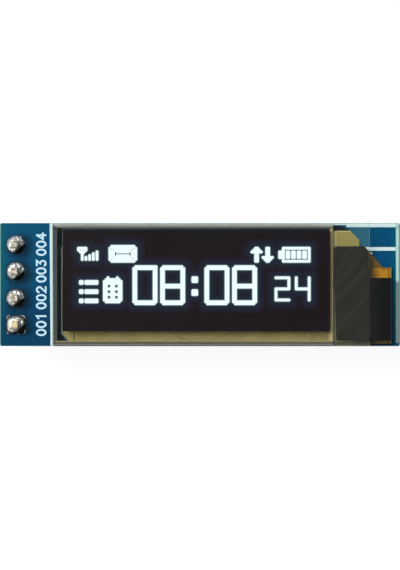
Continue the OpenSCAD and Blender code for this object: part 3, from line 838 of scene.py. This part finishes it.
def front_print():
    """Frame round the panel and the numbers of the four pins."""
    bm = bmesh.new()
    z = (FRONT_Z, FRONT_Z + INK_T)
    left_low = (FRONT_LO.x - 0.1, BOARD_LO.y + 0.04)
    left_high = (FRONT_LO.x - 0.19, BOARD_HI.y - 0.04)
    right = BOARD_HI.x - 0.25
    top = BOARD_HI.y - 0.2
    cross = BOARD_HI.y - 2.46
    under_panel = SHEET_HI.x - 1.2
    lines = [
        (left_low, left_high, 0.3),
        ((right, BOARD_LO.y + 0.3), (right, top - 0.15), 0.28),
        ((under_panel, top - 0.02), (right + 0.14, top - 0.02), 0.36),
        ((left_high[0] + 0.15, top + 0.08), (under_panel, top + 0.08), 0.16),
        ((FRONT_HI.x - 0.9, cross), (right - 0.14, cross), 0.34),
    ]
    for line in lines:
        add_prism(bm, wavy_line(*line), *z)
    for i, pin in enumerate(PINS):
        write_number(bm, f"00{i + 1}", (2.9, pin.y - 1.06), 0.76, 0.97, 0.18, *z, turn=90)
    return add_piece("front_print", bm, [INK])


SMALL_PARTS = [f"capacitor_{i + 1}" for i in range(CAPACITOR_N)]
SMALL_PARTS += [f"resistor_{i + 1}" for i in range(RESISTOR_N)]


def back_print():
    """Outlines round the small parts, a bar at pin 1 and the numbers of the pins."""
    bm = bmesh.new()
    z = (BACK_Z, BACK_Z - BACK_INK_T)
    for part in SMALL_PARTS:
        low, high = box_mm(part)
        lengthwise = high.x - low.x > high.y - low.y
        margins = (0.66, 0.3) if lengthwise else (0.3, 0.66)
        add_ring(bm, rectangle(low, high, *margins), 0.12, *z)
    low, high = box_mm("regulator_body")
    add_ring(bm, rectangle(low, high, 0.12, 0.3), 0.12, *z)
    low, high = box_mm("header_moulding")
    add_ring(bm, rectangle(low, high, 0.12, 0.18), 0.14, *z)
    for i, pin in enumerate(PINS):
        write_number(bm, str(i + 1), (high.x + 0.38, pin.y + 1.22), 0.8, 0.84, 0.14, *z, flip=True)
    return add_piece("back_print", bm, [INK])


def resistor_marks():
    """The value printed on each resistor."""
    bm = bmesh.new()
    for i in range(RESISTOR_N):
        low, high = box_mm(f"resistor_{i + 1}")
        at = ((low.x + high.x) / 2 - 0.36, (low.y + high.y) / 2 + 0.2)
        text = "472" if i < 2 else "103"
        write_number(bm, text, at, 0.25, 0.4, 0.055, low.z + 0.002, low.z - 0.006, flip=True)
    return add_piece("resistor_marks", bm, [INK])


TRACE = 0.24
WIDE = 0.5

# Copper on the back, as (width, points): from the pins, round the small parts and on to
# the vias under the flex circuit.
BACK_RUNS = [
    (WIDE, [(0.95, -1.27), (3.9, -1.27), (5.0, -0.17), (5.3, 0.0)]),
    (WIDE, [(7.9, 0.95), (9.1, 0.95), (10.3, 2.15)]),
    (WIDE, [(7.9, -0.95), (9.1, -0.95), (10.3, -2.15)]),
    (WIDE, [(0.9, -3.81), (1.9, -4.8), (34.6, -4.8)]),
    (WIDE, [(10.6, -3.8), (10.6, -4.8)]),
    (WIDE, [(12.0, 4.85), (28.2, 4.85)]),
    (TRACE, [(0.95, 3.81), (6.4, 3.81), (7.3, 4.7), (11.0, 4.7), (12.4, 3.3), (13.0, 3.3)]),
    (TRACE, [(0.95, 1.27), (3.6, 1.27), (4.6, 2.27)]),
    (TRACE, [(12.2, 0.8), (13.1, 1.7)]),
    (TRACE, [(15.0, 3.3), (16.2, 3.3), (17.0, 4.1), (17.0, 4.85)]),
    (TRACE, [(15.0, 1.7), (17.2, 1.7)]),
    (TRACE, [(19.2, 1.7), (20.0, 0.9), (20.0, -1.2), (18.8, -2.4)]),
    (TRACE, [(19.2, -2.9), (20.4, -2.9)]),
    (TRACE, [(22.4, -2.9), (23.6, -2.9)]),
    (TRACE, [(25.6, -2.9), (30.0, -2.9), (31.0, -1.9)]),
    (TRACE, [(17.2, -2.9), (16.2, -2.9), (15.4, -2.1)]),
]
VIAS = [(4.7, 2.37), (12.1, 0.7), (15.3, -2.0), (31.1, -1.8), (17.9, -4.8), (24.0, -4.8)]
VIAS += [(13.2, 4.85), (29.0, 4.85), (8.0, -3.4), (8.0, 3.0), (22.0, -4.8), (31.6, -4.8)]


def back_runs():
    """Copper under the lacquer on the back."""
    runs = list(BACK_RUNS)
    vias = list(VIAS)
    for k in range(4):
        low, high = box_mm(f"capacitor_{k + 4}")
        x = (low.x + high.x) / 2
        y = -1.1 + 0.62 * k
        runs.append((TRACE, [(x, low.y), (x, y + 0.5), (x + 0.5, y), (31.0, y)]))
        runs.append((WIDE, [(x, high.y), (x, 4.85)]))
        vias.append((31.1, y))
    return runs, vias


def back_copper():
    """Traces and the rings of the vias, each trace a little above the one before."""
    bm = bmesh.new()
    runs, vias = back_runs()
    for k, (width, points) in enumerate(runs):
        add_stroke(bm, points, width, BACK_Z, BACK_Z - TRACE_T - 0.0004 * k)
    for x, y in vias:
        add_ring(bm, circle(x, y, 0.24), 0.16, BACK_Z, BACK_Z - 0.03)
    return add_piece("back_copper", bm, [RAISED])


def via_holes():
    """The mouths of the vias, as dark discs of painted shade."""
    bm = bmesh.new()
    for x, y in back_runs()[1]:
        add_prism(bm, circle(x, y, 0.17), BACK_Z, BACK_Z - 0.006)
    return add_piece("via_holes", bm, [HOLE_SHADE])


# ---- solder joints ----

# One joint each: height of the solder, how far it climbs the pin, the way it leans in
# degrees and by how much, and its lumps as (degrees, place outwards, size, height).
JOINTS = [
    (0.5, 0.16, 172, 0.42, [(132, 0.74, 0.2, 0.24), (205, 0.55, 0.34, 0.1), (38, 0.9, 0.1, 0.22)]),
    (0.5, 0.12, 158, 0.42, [(262, 0.52, 0.11, 0.3), (8, 0.82, 0.1, 0.16), (146, 0.55, 0.3, 0.12)]),
    (0.48, 0.1, 172, 0.46, [(268, 0.56, 0.1, 0.34), (172, 0.55, 0.3, 0.14), (40, 0.6, 0.16, 0.06)]),
    (0.5, 0.3, 150, 0.46, [(270, 0.42, 0.1, 0.34), (28, 0.84, 0.09, 0.3), (132, 0.4, 0.4, 0.2)]),
]


def joint_height(joint, u, angle, seed):
    """Height of the solder over its pad; u runs from 0 at the pin to 1 at the pad's rim."""
    rise, climb, lean_to, lean, lumps = joint
    facing = cos(angle - radians(lean_to))
    fullness = 2.3 - 0.7 * facing
    height = rise * (1 + lean * facing * min(1.0, 2 * u)) * max(0.0, 1 - u**fullness)
    height += climb * exp(-((u / 0.2) ** 2)) - 0.06 * exp(-(((u - 0.24) / 0.08) ** 2))
    fade = sqrt(max(0.0, 1 - u**4))
    for towards, out, size, lump in lumps:
        turn = (angle - radians(towards) + pi) % (2 * pi) - pi
        gap = hypot((u - out) / size, turn * (0.35 + out) / (1.1 * size))
        height += lump * fade * exp(-gap * gap)
    at = Vector((3.0 * u * cos(angle), 3.0 * u * sin(angle), seed))
    return max(0.0, height + 0.12 * fade * noise.noise(at * 1.4))


def solder_joints():
    """Lumpy solder round each pin, with the plug that fills its hole."""
    around, rings = 88, 34
    rim = (PADS_HI.y - PADS_LO.y - (PIN_N - 1) * PITCH) / 2
    bore = 0.5
    z_pad = PADS_HI.z
    inside = 0.94 * (PIN_HI.x - PIN_LO.x) / 2
    turns = [2 * pi * j / around for j in range(around)]
    for i, (joint, pin) in enumerate(zip(JOINTS, PINS)):
        power = 7.0 if i == 0 else 2.0
        loops = []
        for k in range(rings + 1):
            u = sin(0.5 * pi * k / rings)
            loop = []
            for a in turns:
                shape = (abs(cos(a)) ** power + abs(sin(a)) ** power) ** (-1 / power)
                wander = 1.01 + 0.05 * noise.noise(Vector((2 * cos(a), 2 * sin(a), i)))
                r = inside + (rim * shape * wander - inside) * u
                loop.append((r, z_pad + joint_height(joint, u, a, 5.0 * i)))
            loops.append(loop)
        for r, z in ((bore, z_pad - 0.001), (bore, PADS_LO.z), (inside, PADS_LO.z)):
            loops.append([(r, z)] * around)
        bm = bmesh.new()
        rows = []
        for loop in loops:
            row = []
            for a, (r, z) in zip(turns, loop):
                row.append(bm.verts.new((pin.x + r * cos(a), pin.y + r * sin(a), z)))
            rows.append(row)
        for inner, outer in zip(rows, rows[1:] + rows[:1]):
            for j in range(around):
                after = (j + 1) % around
                bm.faces.new((inner[j], inner[after], outer[after], outer[j]))
        name = f"solder_heap_{i + 1}"
        add_piece(name, bm, [HEAPED], [f"solder_joint_{i + 1}"], smooth=60)


# ---- panel ----


def glass_plate(name, clear, replaced):
    """A glass with ground edges: clear faces, and greener sides whose pale tone is partly a painted
    highlight.
    """
    bm = bmesh.new()
    add_block(bm, *box_mm(replaced), 0.05)
    bm.normal_update()
    for face in bm.faces:
        face.material_index = 0 if abs(face.normal.z) > 0.9 else 1
    return add_piece(name, bm, [clear, GLASS_EDGE], [replaced])


# ---- light-shield tape ----


def follow(x, z, moves):
    """Runs (distance, x, z, heading) along a line in X and Z.

    A move is a length and the degrees that the line turns while it covers it.
    """
    marks = [(0.0, x, z, 0.0)]
    run = heading = 0.0
    for length, turn in moves:
        count = max(1, ceil(abs(turn) / 8))
        for _ in range(count):
            half_turn = radians(turn) / count / 2
            run += length / count
            x += length / count * cos(heading + half_turn)
            z += length / count * sin(heading + half_turn)
            heading += 2 * half_turn
            marks.append((run, x, z, heading))
    return marks


def bend_onto(bm, marks):
    """Bends a flat sheet, whose X is a distance along the line, onto that line."""
    for run, *_ in marks[1:-1]:
        geometry = bm.verts[:] + bm.edges[:] + bm.faces[:]
        bmesh.ops.bisect_plane(bm, geom=geometry, plane_co=(run, 0, 0), plane_no=(1, 0, 0))
    for vert in bm.verts:
        distance, y, height = vert.co
        k = max(i for i in range(len(marks) - 1) if i == 0 or marks[i][0] <= distance + 1e-5)
        before, after = marks[k], marks[k + 1]
        t = (distance - before[0]) / (after[0] - before[0])
        x, z, heading = (a + (b - a) * t for a, b in zip(before[1:], after[1:]))
        vert.co = (x - height * sin(heading), y, z + height * cos(heading))


def tape_piece():
    """The tape, stuck on a little askew, going over the glass's edge and the fold."""
    thickness = TAPE_HI.z - FRONT_HI.z
    fold = (FRONT_LO.z - TAIL_LO.z) / 2
    lean = 0.16
    crest = 0.2
    x0 = TAPE_LO.x - lean
    flat = FRONT_HI.x - 0.06 - x0
    across = TAIL_HI.x - fold - (x0 + flat)
    down = FRONT_HI.z - crest - (TAIL_LO.z + fold)
    length = hypot(across, down)
    slope = asin((fold - crest) / length) - atan2(down, across)
    slope = abs(degrees(slope))
    straight = sqrt(length**2 - (fold - crest) ** 2)
    wrap = 78.0
    moves = [
        (flat, 0),
        (crest * radians(slope), -slope),
        (straight, 0),
        (fold * radians(wrap - slope), slope - wrap),
    ]
    marks = follow(x0, FRONT_HI.z, moves)
    main_end = FRONT_HI.x - 0.15 - x0
    wing_top = TAPE_LO.y + 5.95
    cut, corner = 0.32, 0.72
    rounded = arc(main_end - corner * 0.8, TAPE_HI.y - corner, corner * 0.8, corner, 0, 90, 6)
    outline = [
        (2 * lean, TAPE_LO.y),
        (marks[-1][0], TAPE_LO.y + 0.03),
        (marks[-1][0], wing_top),
        (main_end, wing_top),
        *rounded,
        (cut, TAPE_HI.y - 0.02),
        (0.0, TAPE_HI.y - cut),
    ]
    bm = bmesh.new()
    add_prism(bm, outline, 0.0, thickness)
    bend_onto(bm, marks)
    return add_piece("tape_strip", bm, [TAPE], ["shield_tape"], smooth=40)


# ---- what the display shows ----

# Bars of a numeral, as in a clock: top, upper right, lower right, bottom, lower left,
# upper left and middle.
BARS = {"0": "abcdef", "2": "abged", "4": "fgbc", "8": "abcdefg"}


class Screen:
    """The lit dots, by column from the left and row from the top."""

    def __init__(self):
        self.lit = set()

    def fill(self, c0, r0, c1, r1, on=True):
        """Lights, or puts out, the dots from c0, r0 to c1, r1, both included."""
        cells = {(c, r) for c in range(c0, c1 + 1) for r in range(r0, r1 + 1)}
        self.lit = self.lit | cells if on else self.lit - cells

    def put_out(self, *cells):
        self.lit -= set(cells)

    def put_out_corners(self, c0, r0, c1, r1):
        self.put_out((c0, r0), (c1, r0), (c0, r1), (c1, r1))

    def numeral(self, mark, c, r, w, h, t):
        right, bottom, middle = c + w - 1, r + h - 1, r + (h - t + 1) // 2
        bars = {
            "a": (c, r, right, r + t - 1),
            "b": (right - t + 1, r, right, middle + t - 1),
            "c": (right - t + 1, middle, right, bottom),
            "d": (c, bottom - t + 1, right, bottom),
            "e": (c, middle, c + t - 1, bottom),
            "f": (c, r, c + t - 1, middle + t - 1),
            "g": (c, middle, right, middle + t - 1),
        }
        for bar in BARS[mark]:
            self.fill(*bars[bar])
        if mark in "08":
            self.put_out_corners(c, r, right, bottom)

    def signal_bars(self):
        self.fill(0, 1, 4, 2)
        self.put_out((1, 2), (3, 2))
        self.fill(1, 3, 3, 3)
        self.fill(2, 4, 2, 7)
        for k in range(4):
            self.fill(4 + 2 * k, 6 - k, 4 + 2 * k, 7)

    def envelope(self):
        self.fill(17, 0, 31, 8)
        self.put_out_corners(17, 0, 31, 8)
        self.fill(20, 4, 28, 4, on=False)
        for c in (20, 28):
            self.fill(c, 3, c, 5, on=False)
        for k in (1, 2):
            self.put_out((17 + k, k), (31 - k, k), (17 + k, 8 - k), (31 - k, 8 - k))

    def arrow(self, c, up):
        """Two columns wide, with a head three rows high."""
        for row in range(8):
            reach = row if row < 3 else 0
            r = 1 + row if up else 8 - row
            self.fill(c + 2 - reach, r, c + 3 + reach, r)

    def battery(self):
        self.fill(109, 3, 110, 6)
        self.fill(111, 1, 125, 8)
        self.fill(112, 2, 124, 7, on=False)
        for k in range(4):
            self.fill(113 + 3 * k, 3, 114 + 3 * k, 6)

    def list_sign(self, c, r):
        """Three rows of a list, each with its mark."""
        for k in range(3):
            self.fill(c, r + 5 * k, c + 1, r + 5 * k + 1)
            self.fill(c + 3, r + 5 * k, c + 9, r + 5 * k + 1)

    def calendar_sign(self, c, r):
        """A sheet with two rings on top and three rows of dark squares."""
        for left in (2, 7):
            self.fill(c + left, r, c + left, r)
        self.fill(c, r + 1, c + 9, r + 13)
        self.put_out_corners(c, r + 1, c + 9, r + 13)
        for row in (4, 7, 10):
            for left in (2, 6):
                self.fill(c + left, r + row, c + left + 1, r + row + 1, on=False)


def screen_content():
    screen = Screen()
    screen.signal_bars()
    screen.envelope()
    screen.arrow(94, up=True)
    screen.arrow(100, up=False)
    screen.battery()
    screen.list_sign(1, 19)
    screen.calendar_sign(14, 17)
    for mark, c in (("0", 30), ("8", 45), ("0", 69), ("8", 84)):
        screen.numeral(mark, c, 11, 13, 21, 2)
    screen.fill(42, 11, 42, 11)
    screen.fill(62, 17, 64, 19)
    screen.fill(62, 24, 64, 26)
    screen.numeral("2", 107, 17, 8, 13, 1)
    screen.numeral("4", 118, 17, 8, 13, 1)
    return screen.lit


# What shows in each ring of thirds round the lit ones, from the inside out.
HALO_RINGS = ["halo_1"] * 3 + ["halo_2"] * 2 + ["halo_3"] * 2 + ["halo_4"] * 3 + ["halo_5"] * 3

# A dot's light spreads this part of a dot past its sides. Each dot is split in three
# along both axes there: a side, the middle and the other side.
SPREAD = 0.26
SPLITS = (0.0, SPREAD, 1 - SPREAD)


def grown(cells, square):
    """The cells and those that touch them, at the corners too if square."""
    steps = [(0, 0), (1, 0), (-1, 0), (0, 1), (0, -1)]
    if square:
        steps += [(1, 1), (1, -1), (-1, 1), (-1, -1)]
    return {(i + a, j + b) for i, j in cells for a, b in steps}


def shine(lit):
    """What each third of a dot shows, by its column and row in thirds."""
    bright = set()
    for c, r in lit:
        for i in range(-1, 4):
            for j in range(-1, 4):
                if not (i in (-1, 3) and j in (-1, 3)):
                    bright.add((3 * c + i, 3 * r + j))
    shown = dict.fromkeys(bright, "dot_lit")
    reached = bright
    for k, level in enumerate(HALO_RINGS):
        wider = grown(reached, k % 3 != 2)
        shown.update(dict.fromkeys(wider - reached, level))
        reached = wider
    for i, j in grown(bright, True) - bright:
        sides = [(i - 1, j) in bright, (i + 1, j) in bright]
        ends = [(i, j - 1) in bright, (i, j + 1) in bright]
        if all(sides) or all(ends):
            shown[i, j] = "dot_gap"
        elif any(sides + ends):
            shown[i, j] = "dot_rim"
    return shown


def display_picture():
    """The lit dots and the halo that the film and glass give them, as one thin layer."""
    pitch_x = (AREA_HI.x - AREA_LO.x) / COLUMNS
    pitch_y = (AREA_HI.y - AREA_LO.y) / ROWS
    layer = 0.008
    bm = bmesh.new()
    corners = {}

    def corner(i, j):
        if (i, j) not in corners:
            x = AREA_LO.x + (i // 3 + SPLITS[i % 3]) * pitch_x
            y = AREA_HI.y - (j // 3 + SPLITS[j % 3]) * pitch_y
            corners[i, j] = bm.verts.new((x, y, POL_HI.z + layer / 2))
        return corners[i, j]

    levels = list(GLOW)
    # Each third of a dot is a face; faces of one level are joined, then made solid.
    for (i, j), level in sorted(shine(screen_content()).items()):
        round_it = [(i, j), (i, j + 1), (i + 1, j + 1), (i + 1, j)]
        face = bm.faces.new([corner(*at) for at in round_it])
        face.material_index = levels.index(level)
    everywhere = {"verts": bm.verts, "edges": bm.edges}
    bmesh.ops.dissolve_limit(bm, angle_limit=0.01, delimit={"MATERIAL"}, **everywhere)
    extruded = bmesh.ops.extrude_face_region(bm, geom=bm.faces[:], use_keep_orig=True)
    lower = [v for v in extruded["geom"] if isinstance(v, bmesh.types.BMVert)]
    bmesh.ops.translate(bm, vec=(0.0, 0.0, -layer), verts=lower)
    return add_piece("display_picture", bm, list(GLOW.values()))


# ---- small parts on the back ----


def islands(node):
    """Boxes, in millimetres, of the separate solids of a CAD node."""
    bm = bmesh.new()
    bm.from_mesh(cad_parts[node].data)
    bmesh.ops.remove_doubles(bm, verts=bm.verts, dist=1e-6)
    left = set(bm.verts)
    found = []
    while left:
        group, edge = set(), [left.pop()]
        while edge:
            vert = edge.pop()
            group.add(vert)
            for link in vert.link_edges:
                other = link.other_vert(vert)
                if other in left:
                    left.discard(other)
                    edge.append(other)
        low = Vector([min(v.co[k] for v in group) for k in range(3)]) / MM
        high = Vector([max(v.co[k] for v in group) for k in range(3)]) / MM
        found.append((low, high))
    bm.free()
    return found


def softened(node, name, bevel, material):
    """A block-shaped CAD node again, with its edges rounded."""
    bm = bmesh.new()
    for low, high in islands(node):
        add_block(bm, low, high, bevel)
    return add_piece(name, bm, [material], [node])


def small_parts():
    for i in range(1, CAPACITOR_N + 1):
        softened(f"capacitor_{i}", f"capacitor_block_{i}", 0.05, CERAMIC)
    for i in range(1, RESISTOR_N + 1):
        softened(f"resistor_{i}", f"resistor_block_{i}", 0.02, GLAZE)
    softened("capacitor_ends", "capacitor_caps", 0.07, TIN)
    softened("resistor_ends", "resistor_caps", 0.04, TIN)


# ---- finish on the CAD nodes that stay ----


FINISHES = {
    "pcb": MASK,
    "plated_holes": TIN,
    "header_moulding": PLASTIC,
    **{f"header_pin_{i + 1}": PIN_METAL for i in range(PIN_N)},
    "mounting_sheet": SHEET,
    "edge_seal": RESIN,
    "getter_sheet": DRYING,
    "emitter_layers": emitter_stack(),
    "driver_chip": silicon(),
    "flex_circuit": POLYIMIDE,
    "flex_fingers": SOLDER,
    "regulator_body": EPOXY,
    "regulator_leads": TIN,
    "part_solder": SOLDER,
}


def finish_nodes():
    for node, material in FINISHES.items():
        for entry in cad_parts[node].material_slots:
            entry.material = material


# ---- studio ----

FLOOR_GAP = 0.05
FLOOR_SIZE = 12.0
CAMERA_Y = -0.04


def studio_floor():
    """Plain pale floor that reads white, and still takes the object's shadow."""
    z = (PIN_LO.z - FLOOR_GAP) * MM
    bpy.ops.mesh.primitive_plane_add(size=FLOOR_SIZE, location=(BOARD_MID.x * MM, 0.0, z))
    floor = bpy.context.object
    floor.name = "floor"
    material = bpy.data.materials.new("floor_paper")
    material.use_nodes = True
    graph = Graph(material.node_tree)
    graph.tree.nodes.clear()
    path = graph.node("LightPath").outputs
    seen = graph.larger(path["Is Camera Ray"], path["Is Glossy Ray"])
    seen = graph.larger(seen, path["Is Transmission Ray"])
    paper = graph.mix(seen, (230, 230, 230), (124, 124, 124))
    shade = graph.node("BsdfDiffuse", {"Color": paper})
    light = graph.node("Emission", {"Strength": graph.times(seen, 0.88)})
    both = graph.node("AddShader", {0: shade.outputs[0], 1: light.outputs[0]})
    below = graph.node("NewGeometry").outputs["Backfacing"]
    clear = graph.node("BsdfTransparent")
    sides = graph.node("MixShader", {0: below, 1: both.outputs[0], 2: clear.outputs[0]})
    graph.node("OutputMaterial", {"Surface": sides.outputs[0]})
    floor.data.materials.append(material)


def studio_sky():
    """Soft light from all round, brighter to the upper left and dim overhead."""
    world = bpy.data.worlds.new("studio")
    bpy.context.scene.world = world
    world.use_nodes = True
    graph = Graph(world.node_tree)
    graph.tree.nodes.clear()
    way = graph.node("TexCoord").outputs["Generated"]
    z = graph.split(way)[2]
    lean = graph.node("VectorMath", {0: way, 1: (-0.86, 0.51, 0.0)}, operation="DOT_PRODUCT")
    path = graph.node("LightPath").outputs
    glossy = path["Is Glossy Ray"]
    least = graph.scale(glossy, 0.2, 0.03)
    most = graph.scale(glossy, 0.95, 1.35)
    facing = graph.band(lean.outputs["Value"], -0.6, 0.75)
    side = graph.plus(least, graph.times(facing, graph.minus(most, least)))
    high = graph.band(z, graph.scale(glossy, 0.25, 0.6), 0.96)
    glow = graph.mix(high, side, (0.2, 0.2, 0.21, 1.0))
    seen = graph.larger(path["Is Camera Ray"], path["Is Transmission Ray"])
    edge = graph.times(glossy, graph.band(z, 0.12, 0.0))
    white = graph.larger(seen, edge)
    color = graph.mix(white, glow, (1.0, 1.0, 1.0, 1.0))
    back = graph.node("Background", {"Color": color, "Strength": 1.0})
    graph.node("OutputWorld", {"Surface": back.outputs[0]})


def put_in_scene(name, data):
    made = bpy.data.objects.new(name, data)
    bpy.context.scene.collection.objects.link(made)
    return made


def key_lamp():
    lamp = bpy.data.lights.new("key", "SUN")
    lamp.energy = 2.45
    lamp.angle = radians(36)
    made = put_in_scene("key", lamp)
    made.rotation_mode = "QUATERNION"
    made.rotation_quaternion = Vector((-0.36, 0.28, 0.89)).to_track_quat("Z", "Y")


def camera():
    """Looks straight down, with the board's length across the whole picture."""
    picture_w, picture_h = 400, 570
    data = bpy.data.cameras.new("camera")
    data.lens = 200.0
    data.sensor_width = 36.0
    seen_h = (BOARD_HI.x - BOARD_LO.x) * picture_h / picture_w
    away = data.lens / data.sensor_width * seen_h
    made = put_in_scene("camera", data)
    made.location = (BOARD_MID.x * MM, CAMERA_Y * MM, (BOARD_HI.z + away) * MM)
    bpy.context.scene.camera = made


camera()
studio_floor()
studio_sky()
key_lamp()
bpy.context.scene.view_settings.view_transform = "Standard"

finish_nodes()
front_print()
back_print()
resistor_marks()
back_copper()
via_holes()
solder_joints()
glass_plate("front_glass_pane", FRONT_CLEAR, "front_glass")
glass_plate("cover_glass_pane", COVER_CLEAR, "cover_glass")
softened("polarizer", "polarizer_sheet", 0.03, FILM)
tape_piece()
display_picture()
small_parts()
